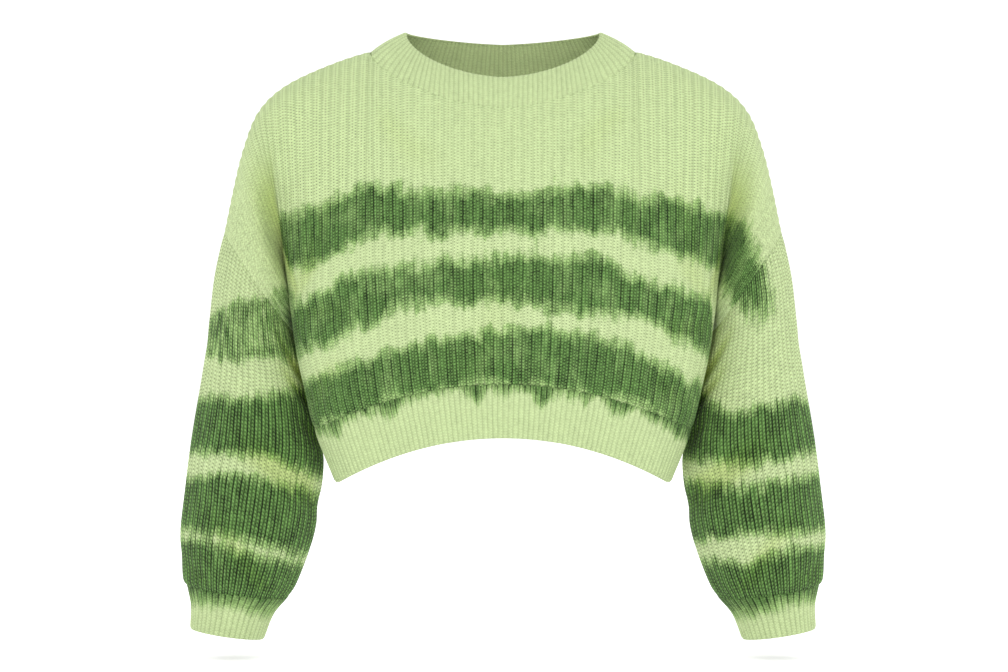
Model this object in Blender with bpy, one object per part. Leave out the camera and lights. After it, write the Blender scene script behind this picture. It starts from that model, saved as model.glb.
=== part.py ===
"""Cropped rib-knit jumper, filled out as it is worn, with nobody in it.

Units are metres. +Z is up, the jumper faces -Y and the wearer's left side is at +X.
The origin lies midway between the high shoulder points, where shoulder seam and neckband meet.
The plane y = 0 holds the shoulder seams, the side seams and the underarm seams.

Front and back panels are knitted with upright ribs. Below the armpit a panel wraps half of the body.
Above it the panel widens into a dropped shoulder, whose ribs fan out from the armpit, so that the
sleeve starts on the upper arm. Sleeves balloon out and draw in to ribbed cuffs.
"""

import math

import bmesh
import bpy
import numpy as np

MM = 0.001

# Cloth
WALL = 2.8 * MM  # thickness in the valleys between two ribs
PANEL_RELIEF = 1.5 * MM  # how far a rib of the panels and sleeves stands out
BAND_RELIEF = 0.9 * MM  # how far a rib of the bands stands out
HALF_GAP = 0.15 * MM  # each piece stops this far from its seam line

# Rib counts. A panel's half is counted from its centre line.
BODY_RIBS = 28  # from the centre to the side seam
NECK_RIBS = 14  # from the centre to the high shoulder point
SHOULDER_RIBS = 40  # from the centre to the armhole seam, with the dropped shoulder
SLEEVE_RIBS = 56  # round a sleeve
HEM_RIBS = 144  # round the hem band
CUFF_RIBS = 44  # round a cuff
NECKBAND_RIBS = 112  # round the neckband

# The inside is plain, and follows every second rib
COLUMNS_PER_RIB = 2
INNER_STEP = 2 * COLUMNS_PER_RIB
NECKBAND_INNER_STEP = 4 * COLUMNS_PER_RIB  # the band has twice the ribs of the neckline

# Rows of faces in each piece
BODY_ROWS = 4
YOKE_ROWS = 6
SLEEVE_ROWS = 8
HEM_ROWS = 1
CUFF_ROWS = 2
NECKBAND_ROWS = 2

# Body rings, from the hem's edge to the armpit. The ring's widest points lie ahead of the side seams.
# drop: below the shoulder points, at the centre. tuck: how far the arm presses the side seam in.
WIDEST_AHEAD = 20 * MM
RING_COLUMNS = ("drop", "half_width", "front_depth", "back_depth", "tuck")
BODY_RINGS = (
    (383, 166, 80, 84, 0),  # hem edge
    (331, 187, 91, 91, 2),  # where the hem band joins
    (292, 197, 95, 94, 7),
    (250, 206, 96, 96, 9),
    (203, 213, 94, 96, 8),  # armpit
)
HEM_EDGE, HEM_JOIN, ARMPIT = 0, 1, 4
SIDE_ARCH = 46 * MM  # every course hangs this much lower at the side than at the centre
TUCK_STARTS = 0.88  # share of the way from the centre to the side seam

# Shoulder seam, seen from the front: distance out from the centre, drop below the shoulder point
SHOULDER_LINE = (
    (0, -14),
    (70, -11),
    (133, 0),  # high shoulder point
    (180, 16),
    (219, 36),
    (243, 60),
    (257, 93),
    (268, 132),
    (278, 180),  # top of the armhole seam
)
SHOULDER_POINT_OUT = 133 * MM
CORNER_CROWDING = 0.8  # draws the last ribs before the high shoulder point together

# Underarm seam, from the side seam's top over to the foot of the armhole seam: out, drop
UNDERARM_CURVE = ((200, 249), (206, 236), (210, 279))
CAP_DEPTH = 52 * MM  # half the depth of the armhole
CAP_STARTS = 10  # rib at which the shoulder begins to fill the panel out
CREASE_ENDS = 8  # ribs past the side seam's rib at which the armpit crease has run out
CREASE_POWER = {"front": 4.0, "back": 3.0}  # the higher, the further up the crease runs

# Neckline seam: how far it dips below the shoulder points, and the roundness of its curve
NECK_DIP = {"front": 62 * MM, "back": 24 * MM}
NECK_ROUND = {"front": 1.6, "back": 2.0}

# Upper edge of the neckband
COLLAR_HALF_WIDTH = 97 * MM
COLLAR_SIDE_RISE = 20 * MM
COLLAR_DIP = {"front": 50 * MM, "back": 9 * MM}
COLLAR_DEPTH = {"front": 64 * MM, "back": 40 * MM}
COLLAR_ROUND = {"front": 1.75, "back": 1.3}
COLLAR_BULGE = 1.5 * MM

# Sleeve sections, from the armhole to the cuff's edge. Each is an ellipse through its inner and outer
# point as seen from the front. back: how far its centre lies behind the seam plane.
SECTION_COLUMNS = ("inner_out", "inner_drop", "outer_out", "outer_drop", "half_depth", "back")
SLEEVE_SECTIONS = (
    (210, 279, 278, 180, 52, 0),  # armhole seam
    (204, 299, 288, 224, 54, 6),
    (197, 326, 294, 270, 56, 12),
    (188, 360, 301, 320, 58, 17),
    (181, 402, 310.5, 376, 61, 18),
    (184, 446, 318, 434, 64, 15),
    (192, 489, 323, 486, 65, 10),
    (206, 528, 320, 524, 58, 6),
    (216, 546, 316, 533, 50, 4),  # cuff joins
)
CUFF_SECTIONS = (
    (216, 546, 316, 533, 50, 4),
    (230, 562, 311.5, 552, 40, 2),
    (240, 587, 312, 576, 36, 0),  # cuff edge
)

LIGHT_KNIT = (0.66, 0.80, 0.45)
DARK_KNIT = (0.16, 0.33, 0.13)
RIB_KNIT = (0.70, 0.83, 0.50)


def smooth(value):
    """0 below 0, 1 above 1, and an even S between."""
    held = np.clip(value, 0.0, 1.0)
    return held * held * (3.0 - 2.0 * held)


def unit(vectors):
    return vectors / np.linalg.norm(vectors, axis=-1, keepdims=True)


def table_at(table, place):
    """The table's rows read as a smooth curve: place 0 is its first row, 1 its second, and so on."""
    rows = np.array(table, float)
    rows = np.vstack([2 * rows[0] - rows[1], rows, 2 * rows[-1] - rows[-2]])
    place = np.asarray(place, float)
    start = np.clip(np.floor(place).astype(int), 0, len(table) - 2)
    t = (place - start)[..., None]
    before, here, after, beyond = (rows[start + i] for i in range(4))
    return 0.5 * (
        2 * here
        + (after - before) * t
        + (2 * before - 5 * here + 4 * after - beyond) * t**2
        + (3 * here - before - 3 * after + beyond) * t**3
    )


def evenly_along(line, share):
    """Points at these shares of a fine line's length."""
    step = np.linalg.norm(np.diff(line, axis=0), axis=1)
    length = np.concatenate([[0.0], np.cumsum(step)])
    at = np.asarray(share, float) * length[-1]
    return np.stack([np.interp(at, length, line[:, k]) for k in range(line.shape[1])], axis=-1)


# ---------------------------------------------------------------- body panels


def ring_point(level, share, face):
    """A point of the body ring at a level, share 0 at the centre line and 1 at the side seam."""
    drop, half_width, front, back, tuck = table_at(BODY_RINGS, level) * MM
    seam_angle = math.acos(-WIDEST_AHEAD / back)
    angle = np.linspace(0.0 if face == "front" else math.pi, seam_angle, 241)
    depth = np.where(np.cos(angle) > 0, front, back)
    line = np.stack([half_width * np.sin(angle), -WIDEST_AHEAD - depth * np.cos(angle)], axis=1)
    out, along = evenly_along(line, share)
    down = drop + SIDE_ARCH * (out / half_width) ** 2
    out -= tuck * smooth((share - TUCK_STARTS) / (1.0 - TUCK_STARTS))
    return np.array([out, along, -down])


def shoulder_point(rib):
    """Where a rib of the panel ends on the shoulder line, or would if the neck weren't cut out."""
    fine = table_at(SHOULDER_LINE, np.linspace(0, len(SHOULDER_LINE) - 1, 401)) * MM
    neck_share = np.interp(SHOULDER_POINT_OUT, fine[:, 0], np.linspace(0, 1, len(fine)))
    cut = int(round(neck_share * (len(fine) - 1)))
    if rib <= NECK_RIBS:
        share = rib / NECK_RIBS
        share += CORNER_CROWDING * share**6 * (1 - share)
        out, drop = evenly_along(fine[: cut + 1], share)
    else:
        out, drop = evenly_along(fine[cut:], (rib - NECK_RIBS) / (SHOULDER_RIBS - NECK_RIBS))
    return np.array([out, 0.0, -drop])


def underarm_point(share):
    """Along the underarm seam, from the side seam's top to the foot of the armhole seam."""
    first, middle, last = (np.array([out, 0.0, -drop]) * MM for out, drop in UNDERARM_CURVE)
    return (1 - share) ** 2 * first + 2 * share * (1 - share) * middle + share**2 * last


def neckline_drop(out, face):
    inside = 1.0 - min(out / SHOULDER_POINT_OUT, 1.0) ** NECK_ROUND[face]
    return NECK_DIP[face] * max(inside, 0.0) ** (1.0 / NECK_ROUND[face])


def yoke_foot(rib, face):
    """Where a rib enters the part above the armpit."""
    if rib <= BODY_RIBS:
        return ring_point(ARMPIT, rib / BODY_RIBS, face)
    return underarm_point((rib - BODY_RIBS) / (SHOULDER_RIBS - BODY_RIBS))


def neck_cut(foot, top, rib, face):
    """Share of the way from foot to top at which the neckline cuts a rib off."""
    if rib >= NECK_RIBS:
        return 1.0
    cut = 0.7
    for _ in range(30):
        out = foot[0] + (top[0] - foot[0]) * cut
        cut = (-neckline_drop(out, face) - foot[2]) / (top[2] - foot[2])
    return cut


def yoke_line(rib, rise, face):
    """Points of one rib above the armpit. rise runs from 0 at its foot to 1 at shoulder or neckline."""
    foot, top = yoke_foot(rib, face), shoulder_point(rib)
    over_arm = smooth((rib - BODY_RIBS + 2) / (SHOULDER_RIBS - BODY_RIBS + 2))
    straight = np.sin(rise * math.pi / 2)
    curled = (1 - np.cos(rise * math.pi)) / 2
    height = straight + (curled - straight) * over_arm
    height -= (1 - neck_cut(foot, top, rib, face)) * height**2
    chest = abs(foot[1]) * np.sqrt(np.maximum(1 - height**2, 0))
    power = 1 + (CREASE_POWER[face] - 1) * (1 - smooth((rib - BODY_RIBS) / CREASE_ENDS))
    bent = height**power
    cap = CAP_DEPTH * smooth((rib - CAP_STARTS) / (BODY_RIBS - CAP_STARTS))
    cap = cap * 2 * np.sqrt(np.maximum(bent * (1 - bent), 0))
    points = foot + (top - foot) * height[:, None]
    points[:, 1] = np.hypot(chest, cap) * (-1 if face == "front" else 1)
    return points


def body_line(rib, level, face):
    """Points of one rib between the hem band and the armpit."""
    return np.array([ring_point(at, rib / BODY_RIBS, face) for at in level])


def panel_grid(face):
    """(points, directions): the panel's valley surface and the way its wall is measured, row by row."""
    step = 1.0 / COLUMNS_PER_RIB
    levels = np.linspace(HEM_JOIN, ARMPIT, BODY_ROWS + 1)
    rises = np.linspace(0, 1, YOKE_ROWS + 1)
    small = 0.02
    right_to_left = []
    for column in range(SHOULDER_RIBS * COLUMNS_PER_RIB + 1):
        rib = column * step
        low_rib = min(rib, BODY_RIBS)
        lines = []
        for shift_rib, shift_row in ((0, 0), (small, 0), (-small, 0), (0, small), (0, -small)):
            body_levels = np.clip(levels[:-1] + shift_row, HEM_JOIN, ARMPIT)
            yoke_rises = np.clip(rises + shift_row, 0, 1)
            low = body_line(abs(min(low_rib + shift_rib, BODY_RIBS)), body_levels, face)
            high = yoke_line(abs(min(rib + shift_rib, SHOULDER_RIBS)), yoke_rises, face)
            if rib + shift_rib < 0:
                low[:, 0] *= -1
                high[:, 0] *= -1
            lines.append(np.vstack([low, high]))
        here, right, left, up, down = lines
        turn = 1 if face == "front" else -1
        normal = unit(np.cross(right - left, up - down)) * turn
        right_to_left.append((here, normal))
    points = np.array([line for line, _ in right_to_left]).transpose(1, 0, 2)
    normals = np.array([normal for _, normal in right_to_left]).transpose(1, 0, 2)
    return points, seam_directions(points, normals, face)


def seam_directions(points, normals, face):
    """Turns the wall's direction at each seam so that both pieces there share one end plane."""
    side, armhole = BODY_RIBS * COLUMNS_PER_RIB, SHOULDER_RIBS * COLUMNS_PER_RIB
    neck = NECK_RIBS * COLUMNS_PER_RIB
    normals[0, :, 2] = 0.0
    normals[:BODY_ROWS, side:, 1] = 0.0
    normals[BODY_ROWS, side:, 1] = 0.0
    normals[-1, neck:, 1] = 0.0
    normals[-1, : neck + 1] = neck_seam_directions(face, neck)
    across = np.array(armhole_axis())
    centre = (points[BODY_ROWS, armhole] + points[-1, armhole]) / 2
    half_length = np.linalg.norm(points[-1, armhole] - points[BODY_ROWS, armhole]) / 2
    from_centre = points[BODY_ROWS:, armhole] - centre
    lengthwise = (from_centre @ across)[:, None] * across / half_length**2
    sideways = from_centre[:, 1:2] * np.array([0.0, 1.0, 0.0]) / CAP_DEPTH**2
    normals[BODY_ROWS:, armhole] = lengthwise + sideways
    return unit(normals)


def armhole_axis():
    """Unit vector in the seam plane from the foot to the top of the armhole seam."""
    inner_out, inner_drop, outer_out, outer_drop = SLEEVE_SECTIONS[0][:4]
    axis = np.array([outer_out - inner_out, 0.0, inner_drop - outer_drop])
    return axis / np.linalg.norm(axis)


def rib_relief(columns, relief):
    """How far each column of the outside stands out: a crest in the middle of every rib."""
    return relief * (np.arange(columns) % COLUMNS_PER_RIB)


def mirrored(grid, scale=(-1, 1, 1)):
    """The whole panel from its +X half."""
    return np.concatenate([grid[:, :0:-1] * np.array(scale), grid], axis=1)


def make_panel(face):
    points, directions = panel_grid(face)
    neck, armhole = NECK_RIBS * COLUMNS_PER_RIB, SHOULDER_RIBS * COLUMNS_PER_RIB
    side = BODY_RIBS * COLUMNS_PER_RIB
    points = points.copy()
    away = -1 if face == "front" else 1
    # Each edge stops half a gap short of its seam line.
    points[0, :, 2] += HALF_GAP
    points[: BODY_ROWS + 1, side:, 1] = away * HALF_GAP
    points[-1, neck:, 1] = away * HALF_GAP
    down_the_rib = unit(points[-2, :neck] - points[-1, :neck])
    points[-1, :neck] += down_the_rib * HALF_GAP
    into_panel = np.cross(armhole_axis(), [0.0, 1.0, 0.0])
    points[BODY_ROWS:, armhole] += into_panel * HALF_GAP
    crest = np.tile(rib_relief(points.shape[1], PANEL_RELIEF), (len(points), 1))
    crest[:, armhole] = 0.0
    crest[-1, : neck + 1] = 0.0
    # The ribs flatten where they crowd into the armpit.
    crest[BODY_ROWS:, side - 4 :] *= smooth(np.arange(YOKE_ROWS + 1) / 3)[:, None]
    outer = mirrored(points + directions * crest[:, :, None])
    inner = mirrored((points - directions * WALL)[:, ::INNER_STEP])
    low = (SHOULDER_RIBS - BODY_RIBS) * COLUMNS_PER_RIB // INNER_STEP
    cells = outer.shape[1] // INNER_STEP

    def present(row, cell):
        return row >= BODY_ROWS or low <= cell < cells - low

    return cloth_solid(f"{face}_panel", outer, inner, present, False)


# ---------------------------------------------------------------- tubes: sleeves and bands


def section_ring(section, turn, side):
    """(points, directions) round a sleeve or cuff section. turn 0 is the underarm, half the front."""
    inner_out, inner_drop, outer_out, outer_drop, half_depth, back = np.array(section) * MM
    inner = np.array([inner_out, 0.0, -inner_drop])
    outer = np.array([outer_out, 0.0, -outer_drop])
    centre = (inner + outer) / 2 + np.array([0.0, back, 0.0])
    across = (outer - inner) / 2
    half_width = np.linalg.norm(across)
    axis = across / half_width
    angle = turn * 2 * math.pi
    lengthwise, sideways = -np.cos(angle)[:, None], -np.sin(angle)[:, None]
    depthwise = np.array([0.0, 1.0, 0.0])
    points = centre + across * lengthwise + depthwise * half_depth * sideways
    directions = unit(axis * lengthwise / half_width + depthwise * sideways / half_depth)
    flip = np.array([side, 1, 1])
    return points * flip, directions * flip


def section_normal(section, side):
    """Unit vector along the arm, towards the hand."""
    inner_out, inner_drop, outer_out, outer_drop = section[:4]
    axis = np.array([outer_out - inner_out, 0.0, inner_drop - outer_drop])
    along = np.cross(axis / np.linalg.norm(axis), [0.0, 1.0, 0.0]) * -1
    return along * np.array([side, 1, 1])


def make_tube(name, sections, ribs, rows, side, relief, free_end):
    turn = np.arange(ribs * COLUMNS_PER_RIB) / (ribs * COLUMNS_PER_RIB)
    crest = rib_relief(len(turn), relief)[:, None]
    outer, inner = [], []
    for row in range(rows + 1):
        section = table_at(sections, row * (len(sections) - 1) / rows)
        points, directions = section_ring(section, turn, side)
        if row == 0:
            points = points + section_normal(section, side) * HALF_GAP
        if row == rows and not free_end:
            points = points - section_normal(section, side) * HALF_GAP
        outer.append(points + directions * crest)
        inner.append((points - directions * WALL)[::INNER_STEP])
    return cloth_solid(name, np.array(outer), np.array(inner), always, True)


def make_hem_band():
    columns = HEM_RIBS * COLUMNS_PER_RIB
    quarter = columns // 4
    crest = rib_relief(columns, BAND_RELIEF)[:, None]
    outer, inner = [], []
    for row in range(HEM_ROWS + 1):
        level = HEM_JOIN + (HEM_EDGE - HEM_JOIN) * row / HEM_ROWS
        ring = full_ring(level, quarter)
        if row == 0:
            ring[:, 2] -= HALF_GAP
        directions = ring_directions(ring)
        outer.append(ring + directions * crest)
        inner.append((ring - directions * WALL)[::INNER_STEP])
    return cloth_solid("hem_band", np.array(outer), np.array(inner), always, True)


def full_ring(level, quarter):
    """The whole body ring at a level, from the front centre round by the wearer's left."""
    shares = np.arange(quarter + 1) / quarter
    front = np.array([ring_point(level, share, "front") for share in shares])
    back = np.array([ring_point(level, share, "back") for share in shares])
    left = np.vstack([front, back[-2::-1]])
    return np.vstack([left, left[-2:0:-1] * np.array([-1, 1, 1])])


def ring_directions(ring):
    """Level outward directions round a closed ring that runs anticlockwise seen from above."""
    ahead, behind = np.roll(ring, -1, axis=0), np.roll(ring, 1, axis=0)
    tangent = ahead - behind
    return unit(np.stack([tangent[:, 1], -tangent[:, 0], 0 * tangent[:, 0]], axis=1))


def neckline_quarter(face, count):
    """The neckline seam from the centre to the shoulder point, on the panel's own corners."""
    corners = np.array([yoke_line(rib, np.array([1.0]), face)[0] for rib in neck_columns()])
    corners[-1, 1] = 0.0
    at = np.linspace(0, len(corners) - 1, count + 1)
    return np.stack([np.interp(at, range(len(corners)), corners[:, k]) for k in range(3)], axis=1)


def neck_columns():
    return np.arange(NECK_RIBS * COLUMNS_PER_RIB + 1) / COLUMNS_PER_RIB


def neck_seam_directions(face, count):
    """The way the wall is measured along the neckline seam, shared by panel and neckband."""
    seam, edge = neckline_quarter(face, count), collar_quarter(face, count)
    around = np.gradient(seam, axis=0)
    around[0, 1:] = 0.0
    around[-1] = (0.0, 1.0 if face == "front" else -1.0, 0.0)
    directions = np.cross(around, unit(edge - seam))
    directions *= np.sign((directions * seam)[:, :2].sum(axis=1))[:, None]
    directions[-1, 1] = 0.0
    return unit(directions)


def collar_quarter(face, count):
    """The neckband's upper edge from the centre to the side."""
    share = np.sin(np.linspace(0, math.pi / 2, 241))
    fall = np.maximum(1 - share ** COLLAR_ROUND[face], 0) ** (1 / COLLAR_ROUND[face])
    away = -1 if face == "front" else 1
    line = np.stack(
        [
            COLLAR_HALF_WIDTH * share,
            away * COLLAR_DEPTH[face] * np.sqrt(1 - share**2),
            COLLAR_SIDE_RISE - COLLAR_DIP[face] * fall,
        ],
        axis=1,
    )
    return evenly_along(line, np.arange(count + 1) / count)


def whole_loop(quarter_of, count):
    front, back = quarter_of("front", count), quarter_of("back", count)
    left = np.vstack([front, back[-2::-1]])
    return np.vstack([left, left[-2:0:-1] * np.array([-1, 1, 1])])


def make_neckband():
    columns = NECKBAND_RIBS * COLUMNS_PER_RIB
    quarter = columns // 4
    seam, edge = whole_loop(neckline_quarter, quarter), whole_loop(collar_quarter, quarter)
    crest = rib_relief(columns, BAND_RELIEF)[:, None]
    up_the_rib = unit(edge - seam)
    directions = whole_loop(neck_seam_directions, quarter)
    outer, inner = [], []
    for row in range(NECKBAND_ROWS + 1):
        share = row / NECKBAND_ROWS
        points = seam + (edge - seam) * share + directions * COLLAR_BULGE * math.sin(math.pi * share)
        if row == 0:
            points = points + up_the_rib * HALF_GAP
        outer.append(points + directions * crest * min(row, 1))
        inner.append((points - directions * WALL)[::NECKBAND_INNER_STEP])
    return cloth_solid("neckband", np.array(outer), np.array(inner), always, True)


# ---------------------------------------------------------------- meshes


def always(_row, _cell):
    return True


def strip(fine, coarse_first, coarse_last):
    """Triangles between a run of fine points and the one coarse edge beside it."""
    middle = len(fine) // 2
    faces = [(coarse_first, fine[i], fine[i + 1]) for i in range(middle)]
    faces.append((coarse_first, fine[middle], coarse_last))
    faces += [(coarse_last, fine[i], fine[i + 1]) for i in range(middle, len(fine) - 1)]
    return faces


def cloth_solid(name, outer, inner, present, closed):
    """A wall between a ribbed outside and a plain inside, closed along every edge."""
    rows, columns = outer.shape[0] - 1, outer.shape[1]
    cells = inner.shape[1] if closed else inner.shape[1] - 1
    step = columns // cells
    verts = np.vstack([outer.reshape(-1, 3), inner.reshape(-1, 3)])

    def out_at(row, column):
        return row * columns + column % columns

    def in_at(row, cell):
        return outer.shape[0] * columns + row * inner.shape[1] + cell % inner.shape[1]

    def filled(row, cell):
        cell = cell % cells if closed else cell
        return 0 <= row < rows and 0 <= cell < cells and present(row, cell)

    faces = []
    for row in range(rows):
        for cell in range(cells):
            if not filled(row, cell):
                continue
            span = range(cell * step, (cell + 1) * step)
            for column in span:
                a, b = out_at(row, column), out_at(row, column + 1)
                c, d = out_at(row + 1, column + 1), out_at(row + 1, column)
                faces += [(a, b, c), (a, c, d)]
            a, b = in_at(row, cell), in_at(row, cell + 1)
            c, d = in_at(row + 1, cell + 1), in_at(row + 1, cell)
            faces += [(a, c, b), (a, d, c)]
            for beside, at in ((row - 1, row), (row + 1, row + 1)):
                if not filled(beside, cell):
                    fine = [out_at(at, column) for column in (*span, span.stop)]
                    faces += strip(fine, in_at(at, cell), in_at(at, cell + 1))
            for beside, at in ((cell - 1, cell), (cell + 1, cell + 1)):
                if not filled(row, beside):
                    low, high = out_at(row, at * step), out_at(row + 1, at * step)
                    faces += [(low, high, in_at(row, at)), (high, in_at(row + 1, at), in_at(row, at))]
    used = sorted({corner for face in faces for corner in face})
    renumber = {old: new for new, old in enumerate(used)}
    mesh = bpy.data.meshes.new(name)
    mesh.from_pydata(
        [tuple(verts[i]) for i in used], [], [tuple(renumber[i] for i in face) for face in faces]
    )
    solid = bmesh.new()
    solid.from_mesh(mesh)
    bmesh.ops.recalc_face_normals(solid, faces=solid.faces)
    solid.to_mesh(mesh)
    solid.free()
    mesh.shade_smooth()
    mesh.set_sharp_from_angle(angle=math.radians(50))
    made = bpy.data.objects.new(name, mesh)
    bpy.context.scene.collection.objects.link(made)
    return made


def knit_material(name, colour):
    material = bpy.data.materials.new(name)
    material.use_nodes = True
    shader = material.node_tree.nodes["Principled BSDF"]
    shader.inputs["Base Color"].default_value = (*colour, 1.0)
    shader.inputs["Roughness"].default_value = 0.95
    shader.inputs["Metallic"].default_value = 0.0
    return material


def main():
    for old in list(bpy.data.objects):
        bpy.data.objects.remove(old)
    light = knit_material("panel_knit", LIGHT_KNIT)
    dark = knit_material("sleeve_knit", DARK_KNIT)
    band = knit_material("band_knit", RIB_KNIT)
    for face in ("front", "back"):
        make_panel(face).data.materials.append(light)
    for side, word in ((1, "left"), (-1, "right")):
        sleeve = make_tube(
            f"sleeve_{word}", SLEEVE_SECTIONS, SLEEVE_RIBS, SLEEVE_ROWS, side, PANEL_RELIEF, False
        )
        cuff = make_tube(f"cuff_{word}", CUFF_SECTIONS, CUFF_RIBS, CUFF_ROWS, side, BAND_RELIEF, True)
        sleeve.data.materials.append(dark)
        cuff.data.materials.append(band)
    make_hem_band().data.materials.append(band)
    make_neckband().data.materials.append(band)


main()
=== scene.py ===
"""The look of a cropped, tie-dyed rib-knit jumper, filled out as it is worn, with nobody in it.

Every piece is a thin knitted shell on the form of its CAD solid: rib relief in the mesh, creases laid in
one by one, and stitches, fibre and dye in its material. Units are metres in the part's frame: +Z up, the
front faces -Y, the wearer's left is at +X, and z = 0 is at the shoulder points. Tables of form and dye
are in mm. A drop is a depth below the shoulder points, and out is away from the centre line.
"""

import math

import bpy
import numpy as np
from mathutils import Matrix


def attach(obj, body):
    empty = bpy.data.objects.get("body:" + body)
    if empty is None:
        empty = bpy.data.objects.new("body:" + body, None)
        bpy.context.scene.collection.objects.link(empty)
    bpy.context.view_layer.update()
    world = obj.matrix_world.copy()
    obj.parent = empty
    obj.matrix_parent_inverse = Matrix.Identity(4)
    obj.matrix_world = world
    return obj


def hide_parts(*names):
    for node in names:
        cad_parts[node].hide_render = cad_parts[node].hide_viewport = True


MM = 0.001
FLIP = np.array([-1, 1, 1])  # to the other side of the centre line
BACKWARD = np.array([0.0, 1.0, 0.0])
WAY = {"front": -1, "back": 1}  # along y, from the middle to each face

# ---- form, as in the part's own source

WALL = 2.8 * MM
SEAM_LAP = 0.5 * MM  # each piece runs this far past its seam line, to meet the next

BODY_RIBS = 28  # from a panel's centre to the side seam
NECK_RIBS = 14  # from its centre to the high shoulder point
SHOULDER_RIBS = 40  # from its centre to the armhole seam
SLEEVE_RIBS = 56
HEM_RIBS = 184
CUFF_RIBS = 44
NECKBAND_RIBS = 112

# Body rings: drop at the centre, half width, front depth, back depth, how far the arm tucks the side in
BODY_RINGS = (
    (383, 166, 80, 84, 0),  # hem edge
    (331, 187, 91, 91, 2),  # where the hem band joins
    (292, 197, 95, 94, 7),
    (250, 206, 96, 96, 9),
    (203, 213, 94, 96, 8),  # armpit
)
HEM_EDGE, HEM_JOIN, ARMPIT = 0, 1, 4
WIDEST_AHEAD = 20 * MM  # a ring is widest this far ahead of the side seams
SIDE_ARCH = 46 * MM  # every course hangs this much lower at the side than at the centre
TUCK_STARTS = 0.88  # share of the way from the centre to the side seam
RING_STEPS = 720

# Shoulder line: out, drop. It runs by the high shoulder point to the top of the armhole seam.
SHOULDER_LINE = (
    (0, -14), (70, -11), (133, 0), (180, 16), (219, 36), (243, 60), (257, 93), (268, 132), (278, 180)
)
NECK_OUT = 133 * MM  # the high shoulder point's
SHOULDER_STEPS = 400
CORNER_CROWDING = 0.8  # how much ribs crowd towards the high shoulder point
CORNER_POWER = 6

UNDERARM_CURVE = ((200, 249), (206, 236), (210, 279))
CAP_DEPTH = 52 * MM  # half the dropped shoulder's depth, front to back
CAP_STARTS = 10  # ribs from the centre at which the chest starts to round into it
CAP_LEAD = 2  # ribs before the side seam's at which they start to curve over the arm
CREASE_ENDS = BODY_RIBS + 8  # the rib at which the armpit crease has run out
CREASE_POWER = {"front": 4.0, "back": 3.0}  # the higher, the further up the crease runs

NECK_DIP = {"front": 62 * MM, "back": 24 * MM}
NECK_ROUND = {"front": 1.6, "back": 2.0}
NECK_CUT_GUESS, NECK_CUT_ROUNDS = 0.7, 40
COLLAR_OUT = 97 * MM
COLLAR_SIDE_RISE = 20 * MM
COLLAR_DIP = {"front": 50 * MM, "back": 9 * MM}
COLLAR_DEPTH = {"front": 64 * MM, "back": 40 * MM}
COLLAR_ROUND = {"front": 1.75, "back": 1.3}
COLLAR_BULGE = 1.5 * MM
COLLAR_STEPS = 240

# Sleeve and cuff sections: out and drop at the inner side, out and drop at the outer side, half depth,
# and how far back the section's middle lies
SLEEVE_SECTIONS = (
    (210, 279, 278, 180, 52, 0),  # armhole seam
    (204, 299, 288, 224, 54, 6),
    (197, 326, 294, 270, 56, 12),
    (188, 360, 301, 320, 58, 17),
    (181, 402, 310.5, 376, 61, 18),
    (184, 446, 318, 434, 64, 15),
    (192, 489, 323, 486, 65, 10),
    (206, 528, 320, 524, 58, 6),
    (216, 546, 316, 533, 50, 4),  # cuff joins
)
CUFF_SECTIONS = (
    SLEEVE_SECTIONS[-1],
    (230, 562, 311.5, 552, 40, 2),
    (240, 587, 312, 576, 36, 0),  # cuff edge
)

# ---- knit

RIB_COLUMNS = 8  # the mesh's columns across a rib
# Half a panel's columns at side seam, armhole seam and high shoulder point
SIDE_AT, ARMHOLE_AT, NECK_AT = (ribs * RIB_COLUMNS for ribs in (BODY_RIBS, SHOULDER_RIBS, NECK_RIBS))
INNER_STEP = 4  # the plain inside has one column for this many outside
NECKBAND_INNER_STEP = 2
BODY_ROWS, YOKE_ROWS, SLEEVE_ROWS, BAND_ROWS = 44, 72, 128, 22

PANEL_RELIEF = 0.9 * MM
SLEEVE_RELIEF = 1.0 * MM
BAND_RELIEF = 0.8 * MM
NECKBAND_RELIEF = 0.5 * MM
RIB_ROUND = 1.5  # the higher, the narrower a rib's top
SEAM_PULL = 0.9 * MM  # how far a seam draws the cloth in beside it
SEAM_PULL_WIDTH = 7 * MM
BAND_PULL = 0.6  # share of that pull beside a seam of a band
EDGE_ROLL = 0.9 * MM  # how far the outside curls in at a free edge
EDGE_ROLL_WIDTH = 1.6 * MM

# Where the ribs' relief fades: the share that is left, and the distance over which it comes back
SEAM_CREST = (0.4, 6 * MM)
SHOULDER_CREST = (0.3, 20 * MM)
NECKBAND_CREST = (0.0, 20 * MM)
CROWDED_LENGTH = (115 * MM, 50 * MM)  # ribs lie flat for so long above the armpit, then rise over so long

CAP_PLAINNESS = 0.5  # share of the ribs' relief and shade that the stretched shoulders lose
CAP_GRAIN = 1.4  # how much coarser they look instead
SHOULDER_SHOW = 0.45  # how much clearer the ribs' painted shade and lit edges are on the shoulders than on the chest

# The fold between chest and dropped shoulder: its drops and how far out it lies there
FOLD_LINE = ((60, 90, 120, 150, 180, 200, 220, 240), (226, 226, 227, 225, 218, 213, 208, 203))
FOLD_FILL = 0.72  # how far full cloth fills it
FOLD_RIBS = (24, BODY_RIBS, 33)  # the ribs on its chest side, at its bottom and on its arm side
FOLD_HALF_WIDTH = 5  # ribs
FOLD_STARTS = 0.15  # share of the way up from the armpit by which it is filled
FOLD_SHADE, FOLD_SHADE_WIDTH = 0.18, 18  # of the dropped shoulder on the chest

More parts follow.
